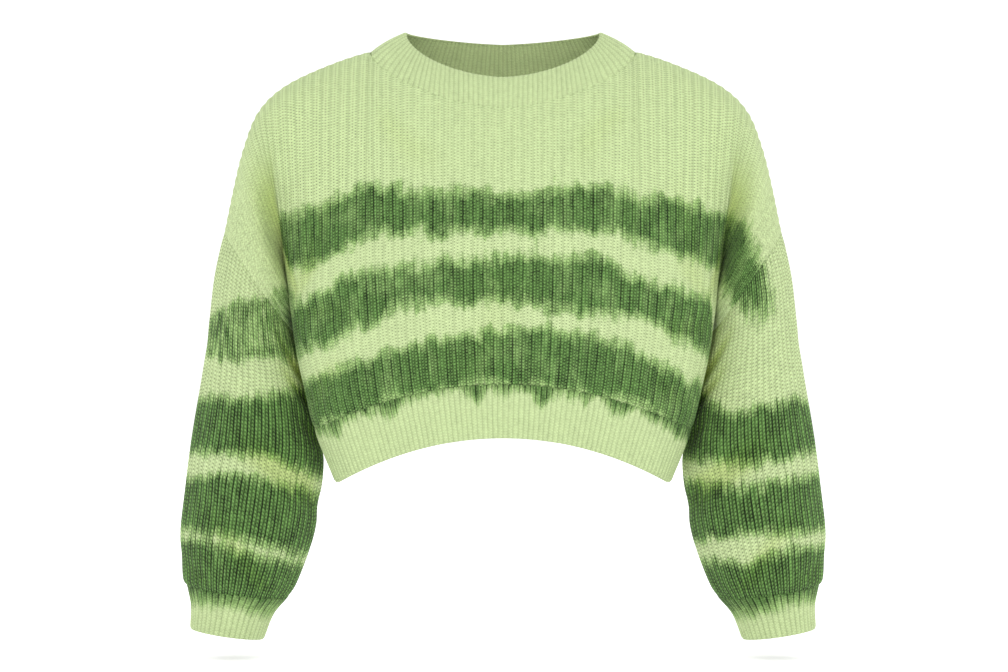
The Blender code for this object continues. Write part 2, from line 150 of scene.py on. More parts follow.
# Creases of a panel: out and drop at both ends, width, height. They fade this near the panel's seams.
CREASE_CLEAR = 12 * MM
FRONT_CREASES = (
    (-206, 236, -150, 130, 12, -1.4), (-208, 245, -168, 196, 9, -1.4),
    (-204, 262, -140, 262, 10, -1.6), (-188, 350, -150, 300, 12, -1.6),
    (206, 236, 158, 120, 13, -1.5), (208, 248, 160, 205, 9, -1.4),
    (202, 268, 150, 282, 11, -1.8), (180, 352, 140, 310, 11, -1.5),
    (-90, 330, -70, 240, 16, 1.6), (60, 335, 84, 250, 18, 1.4),
    (-20, 330, -8, 200, 22, -1.2), (-120, 60, -60, 130, 16, -1.4),
    (120, 60, 66, 124, 16, -1.4),
)
BACK_CREASES = (
    (-212, 236, -130, 110, 14, -4.0), (212, 236, 138, 118, 14, -3.8),
    (-200, 270, -90, 250, 12, -3.0), (200, 268, 96, 262, 12, -2.8),
    (-70, 320, -20, 262, 16, -2.6), (80, 322, 30, 270, 16, -2.4),
    (-30, 60, 30, 84, 18, 1.8), (-110, 340, -96, 230, 18, 1.6),
    (120, 338, 108, 236, 18, 1.6),
)

# Creases of a sleeve: way round from the underarm by the front and way down from the armhole at both
# ends, width, height. The whole way round counts as SLEEVE_ROUND.
SLEEVE_ROUND = 400
SLEEVE_CREASE_CLEAR = 15 * MM
SLEEVE_CREASES = (
    (-6, 66, 74, 22, 9, -4.0), (-8, 92, 70, 58, 8, -3.4),
    (-4, 124, 58, 100, 8, -2.6), (20, 150, 130, 190, 16, -2.8),
    (-20, 190, 110, 150, 14, -2.4), (60, 230, 190, 215, 16, 2.2),
    (30, 292, 150, 262, 15, -2.6), (190, 110, 300, 160, 18, -2.0),
    (210, 250, 320, 220, 18, 1.8), (330, 60, 420, 120, 14, -3.0),
    (340, 170, 430, 140, 14, -3.2), (320, 230, 430, 262, 16, -2.6),
    (250, 330, 380, 318, 16, -2.0), (120, 330, 230, 322, 14, -1.8),
)

TROUGH_SHADE = 0.12  # share of the light that a trough as deep as this keeps from its bottom
DEEP_TROUGH = 4 * MM
BODY_SHADE, BODY_SHADE_WIDTH = 0.22, 0.12  # of the body on a sleeve, and its reach in turns round it
INSIDE_SHADE = 0.05
SHADE_PARTS = (0.95, 0.8, 2.5)  # what shade takes from red, green and blue

# ---- camera and lights

CAMERA_DISTANCE, CAMERA_OUT, CAMERA_DROP = 3.0, 0.001, 0.284
PICTURE_WIDTH = 1.008  # metres that it sees across at the plane y = 0
SENSOR_WIDTH = 36.0

FLOOR_CORNERS = ((-6, -6, -0.606), (6, -6, -0.606), (6, 6, -0.606), (-6, 6, -0.606))
FLOOR_PAPER = {
    "Base Color": (0.95, 0.95, 0.95, 1), "Roughness": 0.9,
    "Emission Color": (1, 1, 1, 1), "Emission Strength": 0.4,
}
STUDIO_AIR = {"Color": (1, 1, 1, 1), "Strength": 1.18}
# Name, place, aim, side of its square, power in watts
LIGHTS = (
    ("key", (-0.9, -2.8, 1.5), (0, 0, -0.25), 1.6, 10.5),
    ("fill", (1.6, -2.6, 0.3), (0, 0, -0.3), 2.0, 8),
)

# ---- dye

# From undyed knit to full dye
DYE_COLOURS = ((0.0, (0.453, 0.554, 0.281)), (0.45, (0.228, 0.35, 0.123)), (1.0, (0.07, 0.142, 0.037)))
UNDYED = -60.0  # mm outside the dye's edge, out of its reach

# Three stripes: out to the wearer's left, drops of their middles, then half their heights. This table
# and the sleeves' are as the camera sees them against the plane y = 0.
FRONT_STRIPES = (
    (-230, 196, 284, 370, 27, 26, 25),
    (-183, 181, 267, 350, 28, 27, 26),
    (-140, 161, 250, 335, 26, 29, 29),
    (-100, 158, 234, 319, 22, 21, 27),
    (0, 160, 228, 307, 20, 23, 30),
    (100, 157, 235, 315, 23, 29, 32),
    (140, 170, 247, 329, 22, 22, 28),
    (180, 177, 264, 353, 28, 29, 30),
    (230, 194, 284, 374, 28, 28, 28),
)
# The same for the back, out to the wearer's right
BACK_STRIPES = (
    (-230, 196, 284, 374, 28, 28, 28),
    (-180, 172, 262, 350, 28, 29, 28),
    (-110, 150, 244, 330, 24, 26, 27),
    (-40, 142, 226, 306, 26, 22, 26),
    (30, 150, 222, 300, 22, 24, 28),
    (100, 146, 234, 318, 25, 27, 25),
    (180, 170, 256, 348, 27, 27, 27),
    (230, 190, 280, 370, 27, 27, 26),
)

# How far the third stripe has run down the hem band: places round it, least, and most above the least
STREAK_SEED, STREAK_PLACES, STREAK_LEAST, STREAK_REACH = 11, 72, -2, 18

# A sleeve's dark bands: drops of a band's upper and lower edge at four places across the sleeve, from
# its side next to the body to its outer side, then the most depth its dye reaches
SLEEVE_BANDS = {
    "right": (
        ((236, 250, 248, 268), (306, 303, 307, 304), 3),
        ((336, 341, 350, 345), (424, 408, 402, 401), 60),
        ((441, 430, 420, 426), (504, 495, 485, 477), 60),
        ((512, 505, 492, 487), (564, 559, 552, 549), 60),
    ),
    "left": (
        ((341, 362, 352, 348), (405, 413, 408, 401), 60),
        ((430, 437, 430, 421), (487, 484, 481, 479), 60),
        ((508, 511, 499, 493), (566, 562, 556, 551), 60),
    ),
}
# The sleeve's inner and outer outlines: drops, and how far out it reaches there
SLEEVE_EDGES = (
    ((180, 279, 360, 402, 489, 546, 587), (240, 210, 188, 181, 192, 216, 240)),
    ((180, 270, 376, 486, 546, 587), (278, 294, 310, 323, 316, 312)),
)

# The blot on the wearer's left shoulder: its middle, how far it leans out in each mm of drop, its half
# sizes, and how deep the dye is at its middle
BLOT_OUT, BLOT_DROP, BLOT_LEAN = 238, 215, 0.28
BLOT_HALF_WIDTH, BLOT_HALF_HEIGHT, BLOT_DEPTH = 23, 50, 24


# ---- curves


def smooth(value):
    """0 below 0, 1 above 1, and an even S between."""
    held = np.clip(value, 0.0, 1.0)
    return held * held * (3.0 - 2.0 * held)


def over(value, start, end):
    """0 at the start, 1 at the end, and an even S between."""
    return smooth((value - start) / (end - start))


def fading(distance, least, reach):
    """A share that rises from least to 1 over this reach."""
    return least + (1 - least) * smooth(distance / reach)


def unit(vectors):
    return vectors / np.maximum(np.linalg.norm(vectors, axis=-1, keepdims=True), 1e-12)


def table_at(table, place):
    """The table's rows read as a smooth curve: place 0 is its first row, 1 its second, and so on."""
    rows = np.array(table, float)
    rows = np.vstack([2 * rows[0] - rows[1], rows, 2 * rows[-1] - rows[-2]])
    place = np.asarray(place, float)
    start = np.clip(np.floor(place).astype(int), 0, len(table) - 2)
    t = (place - start)[..., None]
    before, here, after, beyond = (rows[start + i] for i in range(4))
    return 0.5 * (
        2 * here
        + (after - before) * t
        + (2 * before - 5 * here + 4 * after - beyond) * t**2
        + (3 * here - before - 3 * after + beyond) * t**3
    )


def evenly_along(line, share):
    """Points at these shares of a fine line's length."""
    step = np.linalg.norm(np.diff(line, axis=0), axis=1)
    length = np.append(0.0, np.cumsum(step))
    at = np.asarray(share, float) * length[-1]
    return np.stack([np.interp(at, length, line[:, k]) for k in range(line.shape[1])], axis=-1)


def lengths_along(points):
    """Distance of each row from the first, column by column."""
    step = np.linalg.norm(np.diff(points, axis=0), axis=2)
    return np.vstack([np.zeros(points.shape[1]), np.cumsum(step, axis=0)])


def out_and_drop(points):
    return np.abs(points[..., 0]) / MM, -points[..., 2] / MM


def seen(points):
    """(out, drop) in mm of points as the camera sees them against the plane y = 0."""
    nearer = CAMERA_DISTANCE / (CAMERA_DISTANCE + points[..., 1])
    out = CAMERA_OUT + (points[..., 0] - CAMERA_OUT) * nearer
    drop = CAMERA_DROP + (-points[..., 2] - CAMERA_DROP) * nearer
    return out / MM, drop / MM


# ---- the jumper's form


def ring_points(level, shares, face):
    """Points of the body ring at a level, share 0 at the centre line and 1 at the side seam."""
    drop, half_width, front, back, tuck = table_at(BODY_RINGS, level) * MM
    seam_angle = math.acos(-WIDEST_AHEAD / back)
    angle = np.linspace(0.0 if face == "front" else math.pi, seam_angle, RING_STEPS + 1)
    depth = np.where(np.cos(angle) > 0, front, back)
    line = np.stack([half_width * np.sin(angle), -WIDEST_AHEAD - depth * np.cos(angle)], axis=1)
    out, along = evenly_along(line, shares).T
    down = drop + SIDE_ARCH * (out / half_width) ** 2
    out = out - tuck * over(shares, TUCK_STARTS, 1.0)
    return np.stack([out, along, -down], axis=1)


def shoulder_points(ribs):
    """Where ribs of the panel end on the shoulder line, or would if the neck weren't cut out."""
    fine = table_at(SHOULDER_LINE, np.linspace(0, len(SHOULDER_LINE) - 1, SHOULDER_STEPS + 1)) * MM
    neck_share = np.interp(NECK_OUT, fine[:, 0], np.linspace(0, 1, len(fine)))
    cut = int(round(neck_share * (len(fine) - 1)))
    share = np.minimum(ribs / NECK_RIBS, 1)
    share = share + CORNER_CROWDING * share**CORNER_POWER * (1 - share)
    over_neck = evenly_along(fine[: cut + 1], share)
    beyond = np.maximum(ribs - NECK_RIBS, 0) / (SHOULDER_RIBS - NECK_RIBS)
    over_arm = evenly_along(fine[cut:], beyond)
    out, drop = np.where((ribs <= NECK_RIBS)[:, None], over_neck, over_arm).T
    return np.stack([out, 0 * out, -drop], axis=1)


def underarm_points(share):
    """Along the underarm seam, from the side seam's top to the foot of the armhole seam."""
    first, middle, last = (np.array([out, 0.0, -drop]) * MM for out, drop in UNDERARM_CURVE)
    share = share[:, None]
    return (1 - share) ** 2 * first + 2 * share * (1 - share) * middle + share**2 * last


def neck_cuts(foot, top, ribs, face):
    """Share of the way from foot to top at which the neckline cuts each rib off."""
    power = NECK_ROUND[face]
    cut = np.full(len(ribs), NECK_CUT_GUESS)
    for _ in range(NECK_CUT_ROUNDS):
        out = foot[:, 0] + (top[:, 0] - foot[:, 0]) * cut
        inside = np.maximum(1.0 - np.minimum(out / NECK_OUT, 1.0) ** power, 0.0)
        dip = NECK_DIP[face] * inside ** (1.0 / power)
        cut = (-dip - foot[:, 2]) / (top[:, 2] - foot[:, 2])
    return np.where(ribs >= NECK_RIBS, 1.0, cut)


def yoke_surface(ribs, rises, face):
    """Points above the armpit, rows by ribs. rise is 0 at the armpit and 1 at shoulder or neckline."""
    low = ring_points(ARMPIT, np.minimum(ribs, BODY_RIBS) / BODY_RIBS, face)
    beyond = np.maximum(ribs - BODY_RIBS, 0) / (SHOULDER_RIBS - BODY_RIBS)
    foot = np.where((ribs <= BODY_RIBS)[:, None], low, underarm_points(beyond))
    top = shoulder_points(ribs)
    cut = neck_cuts(foot, top, ribs, face)
    over_arm = over(ribs, BODY_RIBS - CAP_LEAD, SHOULDER_RIBS)
    rise = rises[:, None]
    straight = np.sin(rise * math.pi / 2)
    curled = (1 - np.cos(rise * math.pi)) / 2
    height = straight + (curled - straight) * over_arm
    height = height - (1 - cut) * height**2
    chest = np.abs(foot[:, 1]) * np.sqrt(np.maximum(1 - height**2, 0))
    power = 1 + (CREASE_POWER[face] - 1) * (1 - over(ribs, BODY_RIBS, CREASE_ENDS))
    bent = height**power
    cap = CAP_DEPTH * over(ribs, CAP_STARTS, BODY_RIBS)
    cap = cap * 2 * np.sqrt(np.maximum(bent * (1 - bent), 0))
    points = foot + (top - foot) * height[..., None]
    points[..., 1] = np.hypot(chest, cap) * WAY[face]
    return points


def neckline_quarter(face, count):
    """The neckline seam from the centre to the shoulder point."""
    ribs = np.linspace(0, NECK_RIBS, 2 * NECK_RIBS + 1)
    corners = yoke_surface(ribs, np.array([1.0]), face)[0]
    corners[-1, 1] = 0.0
    at = np.linspace(0, len(corners) - 1, count + 1)
    return np.stack([np.interp(at, range(len(corners)), corners[:, k]) for k in range(3)], axis=1)


def collar_quarter(face, count):
    """The neckband's upper edge from the centre to the side."""
    share = np.sin(np.linspace(0, math.pi / 2, COLLAR_STEPS + 1))
    fall = np.maximum(1 - share ** COLLAR_ROUND[face], 0) ** (1 / COLLAR_ROUND[face])
    out = COLLAR_OUT * share
    along = WAY[face] * COLLAR_DEPTH[face] * np.sqrt(1 - share**2)
    height = COLLAR_SIDE_RISE - COLLAR_DIP[face] * fall
    return evenly_along(np.stack([out, along, height], axis=1), np.arange(count + 1) / count)


def neck_seam_normals(face, count):
    """The way the wall is measured along the neckline seam, shared by panel and neckband."""
    seam, edge = neckline_quarter(face, count), collar_quarter(face, count)
    around = np.gradient(seam, axis=0)
    around[0, 1:] = 0.0
    around[-1] = (0.0, -WAY[face], 0.0)
    normals = np.cross(around, unit(edge - seam))
    normals *= np.sign((normals * seam)[:, :2].sum(axis=1))[:, None]
    normals[-1, 1] = 0.0
    return unit(normals)


def whole_loop(quarter_of, count):
    """A closed loop from its two right-hand quarters. It starts and ends at the back centre."""
    front, back = quarter_of("front", count), quarter_of("back", count)
    half = np.vstack([back, front[-2::-1]])
    return np.vstack([half, half[-2:0:-1] * FLIP])


def armhole_axis():
    """Unit vector in the seam plane from the foot to the top of the armhole seam."""
    inner_out, inner_drop, outer_out, outer_drop = SLEEVE_SECTIONS[0][:4]
    return unit(np.array([outer_out - inner_out, 0.0, inner_drop - outer_drop]))


# ---- knitted shells


def rib_profile(ribs):
    """0 in the groove between two ribs, 1 over most of a rib's width."""
    return np.abs(np.sin(ribs * math.pi)) ** RIB_ROUND


def seam_pull(distance):
    return SEAM_PULL * np.exp(-((distance / SEAM_PULL_WIDTH) ** 2))


def edge_roll(distance):
    return EDGE_ROLL * np.clip(1 - distance / EDGE_ROLL_WIDTH, 0, 1) ** 2


def ribbed_wall(points, normals, offset, crest):
    """(outer, inner) points of a wall this far off its form, with ribs outside and plain inside."""
    middle = points + normals * offset[..., None]
    return middle + normals * crest[..., None], (middle - normals * WALL)[:, ::INNER_STEP]


def tags_for(dye_depth, rib_show=1.0, shade=0.0):
    """The values that a shell's material reads at each point."""
    even = np.ones_like(dye_depth)
    return {"dye_depth": dye_depth, "rib_show": rib_show * even, "shade": shade * even}


def laid_creases(across, along, creases):
    """Sum of soft troughs and ridges. across and along are in mm."""
    total = np.zeros_like(across)
    for across_a, along_a, across_b, along_b, width, height in creases:
        run = np.array([across_b - across_a, along_b - along_a], float)
        length = np.linalg.norm(run)
        run /= length
        forward = (across - across_a) * run[0] + (along - along_a) * run[1]
        sideways = (along - along_a) * run[0] - (across - across_a) * run[1]
        share = forward / length
        # A crease starts sharply, fades at its far end and wanders a little on the way.
        strength = smooth((share + 0.15) / 0.35) * smooth((1.15 - share) / 0.6)
        wander = width * 0.35 * np.sin(share * 4.0 + across_a * 0.05)
        spread = width * (0.8 + 0.5 * np.clip(share, 0, 1))
        total += height * strength * np.exp(-(((sideways - wander) / spread) ** 2))
    return total * MM


def shell(name, walls, first_rib, lengths, tags, keep=None):
    """A closed thin wall from rows of outer points and inner points, with its knit coordinates.

    tags holds a grid of values for each named attribute, one value for each outer point. keep says
    which cells between the inner points are there. Without it they all are, and join up in a tube.
    """
    outer, inner = walls
    rows, columns = outer.shape[:2]
    inner_columns = inner.shape[1]
    tube = keep is None
    cells = inner_columns if tube else inner_columns - 1
    step = columns // cells
    keep = np.ones((rows - 1, cells), bool) if tube else keep
    around = np.pad(keep, 1)
    around[1:-1, [0, -1]] = tube
    corner_sets, place_sets = [], []

    def add(turn, *corners):
        """Faces from corners given as (is outer, row, column): column counts outer columns."""
        verts, places = [], []
        for is_outer, row, column in corners[::turn]:
            inside = outer[..., 0].size + row * inner_columns + column // step % inner_columns
            verts.append(row * columns + column % columns if is_outer else inside)
            places.append(np.stack([row, column], axis=-1))
        corner_sets.append(np.stack(verts, axis=-1))
        place_sets.append(np.stack(places, axis=-2))

    row, cell = np.nonzero(keep)
    first, last = cell * step, (cell + 1) * step
    for k in range(step):
        column = first + k
        add(1, (1, row, column), (1, row, column + 1), (1, row + 1, column + 1), (1, row + 1, column))
    add(1, (0, row, first), (0, row + 1, first), (0, row + 1, last), (0, row, last))
    # The rims: along rows, then along columns
    half = (step + 1) // 2
    for turn, beside, at in ((1, -1, 0), (-1, 1, 1)):
        row, cell = np.nonzero(keep & ~around[1 + beside : rows + beside, 1:-1])
        row, first, last = row + at, cell * step, (cell + 1) * step
        for k in range(step):
            near = first if k < half else last
            add(turn, (0, row, near), (1, row, first + k + 1), (1, row, first + k))
        add(turn, (0, row, first), (0, row, last), (1, row, first + half))
    for turn, beside, at in ((1, -1, 0), (-1, 1, 1)):
        row, cell = np.nonzero(keep & ~around[1:-1, 1 + beside : 1 + cells + beside])
        column = (cell + at) * step
        add(turn, (0, row, column), (1, row, column), (1, row + 1, column), (0, row + 1, column))

    verts = np.append(outer, inner).reshape(-1, 3)
    used = np.zeros(len(verts), bool)
    for corners in corner_sets:
        used[corners] = True
    renumber = np.cumsum(used) - 1
    loops = np.concatenate([renumber[corners].ravel() for corners in corner_sets])
    sizes = np.concatenate([np.full(len(corners), corners.shape[1]) for corners in corner_sets])
    places = np.concatenate([place.reshape(-1, 2) for place in place_sets])
    mesh = bpy.data.meshes.new(name)
    mesh.vertices.add(int(used.sum()))
    mesh.vertices.foreach_set("co", verts[used].ravel())
    mesh.loops.add(len(loops))
    mesh.loops.foreach_set("vertex_index", loops.astype(np.int32))
    mesh.polygons.add(len(sizes))
    starts = np.cumsum(sizes) - sizes
    mesh.polygons.foreach_set("loop_start", starts.astype(np.int32))
    mesh.update(calc_edges=True)
    uv = mesh.uv_layers.new(name="knit")
    rib_at = first_rib + places[:, 1] / RIB_COLUMNS
    length_at = lengths[places[:, 0], places[:, 1] % lengths.shape[1]]
    uv.data.foreach_set("uv", np.stack([rib_at, length_at / MM], axis=1).ravel().astype(np.float32))
    for tag, grid in tags.items():
        within = grid[:, ::step] + (INSIDE_SHADE if tag == "shade" else 0.0)
        values = np.append(grid, within)[used]
        mesh.attributes.new(tag, "FLOAT", "POINT").data.foreach_set("value", values.astype(np.float32))
    mesh.shade_smooth()
    return new_object(name, mesh)


def new_object(name, data):
    made = bpy.data.objects.new(name, data)
    bpy.context.scene.collection.objects.link(made)
    return made


# ---- shares and shades


def past_fold(points):
    """(how far beyond the fold between chest and dropped shoulder, drop) of points, in mm."""
    out, drop = out_and_drop(points)
    return out - np.interp(drop, *FOLD_LINE), drop


def cap_share(points):
    """0 on the body, 1 on the dropped shoulder beyond the armpit fold."""
    beyond, drop = past_fold(points)
    return over(beyond, 0, 8) * over(drop, 80, 160) * (drop < 300)


def stretched_share(points):
    """1 where the dropped shoulder is stretched plain, beside the fold, and less at its outer side."""
    return cap_share(points) * (0.4 + 0.6 * over(np.abs(points[..., 1]) / MM, 8, 36))


def shoulder_share(points):
    """0 at the middle of the chest and on the stripes, 1 on the upper shoulder."""
    out, drop = out_and_drop(points)
    return over(out, 70, 150) * over(drop, 190, 130) * (1 - cap_share(points))


def fold_shade(points):
    """Share of the light that the chest keeps from the dropped shoulder beside it."""
    beyond, drop = past_fold(points)
    near = np.exp(-((np.maximum(beyond, 0) / FOLD_SHADE_WIDTH) ** 2)) * over(beyond, -3, 2)
    return FOLD_SHADE * near * over(drop, 90, 160) * over(drop, 265, 205)


def trough_shade(creases):
    return TROUGH_SHADE * smooth(-creases / DEEP_TROUGH)


def body_shade(points, turn):
    """Share of the light that the body beside it keeps from the inner side of a sleeve."""
    from_inner = np.minimum(turn, 1 - turn)
    _, drop = out_and_drop(points)
    beside_body = over(drop, 210, 260) * over(drop, 440, 350)
    return BODY_SHADE * np.exp(-((from_inner / BODY_SHADE_WIDTH) ** 2)) * beside_body


# ---- where the dye is


def stripe_depth(out, drop, table):
    """How deep in the nearest stripe each point lies, in mm: negative outside."""
    rows = np.array(table, float)
    at = np.interp(out, rows[:, 0], np.arange(len(rows)))
    values = table_at(rows, at)
    count = (rows.shape[1] - 1) // 2
    depth = [values[..., 1 + count + i] - np.abs(drop - values[..., 1 + i]) for i in range(count)]
    return np.max(depth, axis=0)


def panel_dye(points, face):
    """Depth in the dye of the body's stripes, and of the sleeve's beyond the fold."""
    if face == "front":
        stripes = stripe_depth(*seen(points), FRONT_STRIPES)
    else:
        stripes = stripe_depth(-points[..., 0] / MM, -points[..., 2] / MM, BACK_STRIPES)
    cap = np.where(points[..., 0] > 0, sleeve_dye(points, "left"), sleeve_dye(points, "right"))
    share = cap_share(points)
    return stripes * (1 - share) + cap * share


def sleeve_dye(points, side):
    """Depth in the dye of a sleeve's bands and, on the left, of the blot."""
    out, drop = seen(points)
    out = np.abs(out)
    inner, outer = (np.interp(drop, *edge) for edge in SLEEVE_EDGES)
    across = 3 * np.clip((out - inner) / (outer - inner), 0, 1)
    depth = np.full(out.shape, UNDYED)
    for upper, lower, most in SLEEVE_BANDS[side]:
        top, foot = (np.interp(across, range(4), edge) for edge in (upper, lower))
        depth = np.maximum(depth, np.minimum(np.minimum(drop - top, foot - drop), most))
    if side == "left":
        aside = (out - BLOT_OUT - (drop - BLOT_DROP) * BLOT_LEAN) / BLOT_HALF_WIDTH
        blot = 1 - np.hypot(aside, (drop - BLOT_DROP) / BLOT_HALF_HEIGHT)
        depth = np.maximum(depth, blot * BLOT_DEPTH)
    return depth


def dye_streaks(ribs):
    """How much further the dye has run down each rib of the hem band, in mm."""
    runs = np.random.default_rng(STREAK_SEED).random(STREAK_PLACES + 1)
    runs[-1] = runs[0]
    run = np.interp(ribs * STREAK_PLACES / HEM_RIBS, range(len(runs)), runs)
    return STREAK_LEAST + STREAK_REACH * run**2


# ---- panels


def panel_normals(points, face):
    """Outward normals of a panel's smooth surface, turned at each seam into the seam's own plane."""
    normals = unit(np.cross(np.gradient(points, axis=1), np.gradient(points, axis=0))) * -WAY[face]
    normals[0, :, 2] = 0.0
    normals[: BODY_ROWS + 1, SIDE_AT, 1] = 0.0
    normals[BODY_ROWS, SIDE_AT:, 1] = 0.0
    normals[-1, NECK_AT:, 1] = 0.0
    normals[-1, : NECK_AT + 1] = neck_seam_normals(face, NECK_AT)
    across = armhole_axis()
    centre = (points[BODY_ROWS, ARMHOLE_AT] + points[-1, ARMHOLE_AT]) / 2
    half_length = np.linalg.norm(points[-1, ARMHOLE_AT] - points[BODY_ROWS, ARMHOLE_AT]) / 2
    from_centre = points[BODY_ROWS:, ARMHOLE_AT] - centre
    lengthwise = (from_centre @ across)[:, None] * across / half_length**2
    sideways = from_centre[:, 1:2] * BACKWARD / CAP_DEPTH**2
    normals[BODY_ROWS:, ARMHOLE_AT] = lengthwise + sideways
    return unit(normals)


def mirrored(grid, flip=1):
    """Both halves of a panel from its half at +X."""
    return np.append(grid[:, :0:-1] * flip, grid, axis=1)


def fill_fold(points, ribs):
    """Fills the deep fold between chest and dropped shoulder to a soft furrow."""
    yoke = points[BODY_ROWS:]
    chest, fold, arm = (np.abs(yoke[:, rib * RIB_COLUMNS, 1]) for rib in FOLD_RIBS)
    rise = np.arange(YOKE_ROWS + 1) / YOKE_ROWS
    hollow = np.maximum((chest + arm) / 2 - fold, 0) * smooth(rise / FOLD_STARTS)
    near = smooth(1 - np.abs(ribs - BODY_RIBS) / FOLD_HALF_WIDTH)
    yoke[..., 1] += np.sign(yoke[..., 1]) * FOLD_FILL * hollow[:, None] * near


def panel_crest(ribs, lengths, from_top, points):
    """How far a panel's ribs stand out. They flatten where they crowd, at seams and where stretched."""
    crowd = SIDE_AT - RIB_COLUMNS
    flat, rising = CROWDED_LENGTH
    crest = rib_profile(ribs) * np.ones((len(points), 1))
    crest[BODY_ROWS:, crowd:] *= smooth((lengths[BODY_ROWS:, crowd:] - flat) / rising)
    crest *= fading(lengths, *SEAM_CREST)
    crest[:, NECK_AT:] *= fading(from_top[:, NECK_AT:], *SHOULDER_CREST)
    return crest * PANEL_RELIEF * (1 - CAP_PLAINNESS * stretched_share(points))


def make_panel(face):
    """Front or back panel, with the dropped shoulders that are knitted in one with it."""
    ribs = np.arange(ARMHOLE_AT + 1) / RIB_COLUMNS
    levels = np.linspace(HEM_JOIN, ARMPIT, BODY_ROWS + 1)[:-1]
    shares = np.minimum(ribs, BODY_RIBS) / BODY_RIBS
    body = np.array([ring_points(level, shares, face) for level in levels])
    points = np.vstack([body, yoke_surface(ribs, np.linspace(0, 1, YOKE_ROWS + 1), face)])
    fill_fold(points, ribs)
    normals = panel_normals(points, face)
    lengths = lengths_along(points)
    lengths[:, SIDE_AT + 1 :] += lengths[BODY_ROWS, SIDE_AT] - lengths[BODY_ROWS, SIDE_AT + 1 :]

    points[0, :, 2] -= SEAM_LAP
    points[: BODY_ROWS + 1, SIDE_AT:, 1] = -WAY[face] * SEAM_LAP
    points[-1, NECK_AT:, 1] = -WAY[face] * SEAM_LAP
    points[-1, :NECK_AT] -= unit(points[-2, :NECK_AT] - points[-1, :NECK_AT]) * SEAM_LAP
    points[BODY_ROWS:, ARMHOLE_AT] -= np.cross(armhole_axis(), BACKWARD) * SEAM_LAP

    from_top = lengths[-1] - lengths
    pull = seam_pull(lengths)
    pull[BODY_ROWS + 1 :] += seam_pull(from_top[BODY_ROWS + 1 :])
    crest = mirrored(panel_crest(ribs, lengths, from_top, points))
    base, normal = mirrored(points, FLIP), mirrored(normals, FLIP)
    lengths, pull = mirrored(lengths), mirrored(pull)
    creases = laid_creases(
        base[..., 0] / MM, -base[..., 2] / MM, FRONT_CREASES if face == "front" else BACK_CREASES
    )
    creases = creases * smooth(np.minimum(lengths, lengths[-1] - lengths) / CREASE_CLEAR)
    outer, inner = ribbed_wall(base, normal, creases - pull, crest)
    rib_show = 1 + SHOULDER_SHOW * shoulder_share(base) - CAP_PLAINNESS * stretched_share(base)
    tags = tags_for(panel_dye(base, face), rib_show, trough_shade(creases) + fold_shade(base))

    under_arm = (ARMHOLE_AT - SIDE_AT) // INNER_STEP
    keep = np.ones((BODY_ROWS + YOKE_ROWS, 2 * ARMHOLE_AT // INNER_STEP), bool)
    keep[:BODY_ROWS, :under_arm] = False
    keep[:BODY_ROWS, -under_arm:] = False
    if face == "back":
        # The same winding on both faces: the back runs from the wearer's left to the right.
        outer, inner, lengths = outer[:, ::-1], inner[:, ::-1], lengths[:, ::-1]
        tags = {tag: grid[:, ::-1] for tag, grid in tags.items()}
    return shell(f"{face}_knit", (outer, inner), -SHOULDER_RIBS, lengths, tags, keep)


# ---- sleeves and cuffs


def section_ring(section, turn):
    """(points, normals) round a sleeve or cuff section. turn 0 is the underarm, a quarter the front."""
    inner_out, inner_drop, outer_out, outer_drop, half_depth, back = np.array(section) * MM
    inner = np.array([inner_out, 0.0, -inner_drop])
    outer = np.array([outer_out, 0.0, -outer_drop])
    centre = (inner + outer) / 2 + BACKWARD * back
    across = (outer - inner) / 2
    half_width = np.linalg.norm(across)
    angle = turn * 2 * math.pi
    lengthwise, sideways = -np.cos(angle)[:, None], -np.sin(angle)[:, None]
    points = centre + across * lengthwise + BACKWARD * half_depth * sideways
    return points, unit(across * lengthwise / half_width**2 + BACKWARD * sideways / half_depth)


TUBES = {
    "sleeve": (SLEEVE_SECTIONS, SLEEVE_RIBS, SLEEVE_ROWS, SLEEVE_RELIEF, SLEEVE_CREASES),
    "cuff": (CUFF_SECTIONS, CUFF_RIBS, BAND_ROWS, BAND_RELIEF, ()),
}


def make_tube(kind, side):
    """A sleeve or cuff, from its upper seam down to its lower seam or free edge."""
    sections, ribs, rows, relief, creases = TUBES[kind]
    flip = 1 if side == "left" else FLIP
    columns = ribs * RIB_COLUMNS
    turn = np.arange(columns) / columns
    places = [row * (len(sections) - 1) / rows for row in range(rows + 1)]
    rings = [section_ring(table_at(sections, place), turn) for place in places]
    points, normals = (np.array(part) * flip for part in zip(*rings))
    lengths = lengths_along(points)
    to_end = lengths[-1] - lengths
    points[0] -= unit(points[1] - points[0]) * SEAM_LAP
    if kind == "cuff":
        pull = seam_pull(lengths) * BAND_PULL + edge_roll(to_end)
    else:
        points[-1] += unit(points[-1] - points[-2]) * SEAM_LAP
        pull = seam_pull(lengths) + seam_pull(to_end)
    # Creases are laid twice, so that one that starts before the underarm also shows behind it.
    way_round = turn * SLEEVE_ROUND * np.ones_like(lengths)
    laid = laid_creases(way_round, lengths / MM, creases)
    laid = laid + laid_creases(way_round - SLEEVE_ROUND, lengths / MM, creases)
    laid = laid * smooth(np.minimum(lengths, to_end) / SLEEVE_CREASE_CLEAR)
    crest = rib_profile(turn * ribs) * relief
    walls = ribbed_wall(points, normals, laid - pull, crest)
    tags = tags_for(sleeve_dye(points, side), shade=trough_shade(laid) + body_shade(points, turn))
    grids = [*walls, lengths, *tags.values()]
    if side == "right":
        grids = [np.roll(grid[:, ::-1], 1, axis=1) for grid in grids]
    # Rows run from the hand upwards, so that faces wind the same way as the panels'.
    outer, inner, lengths, *values = (grid[::-1] for grid in grids)
    return shell(f"{kind}_{side}_knit", (outer, inner), 0, lengths, dict(zip(tags, values)))


# ---- hem band and neckband


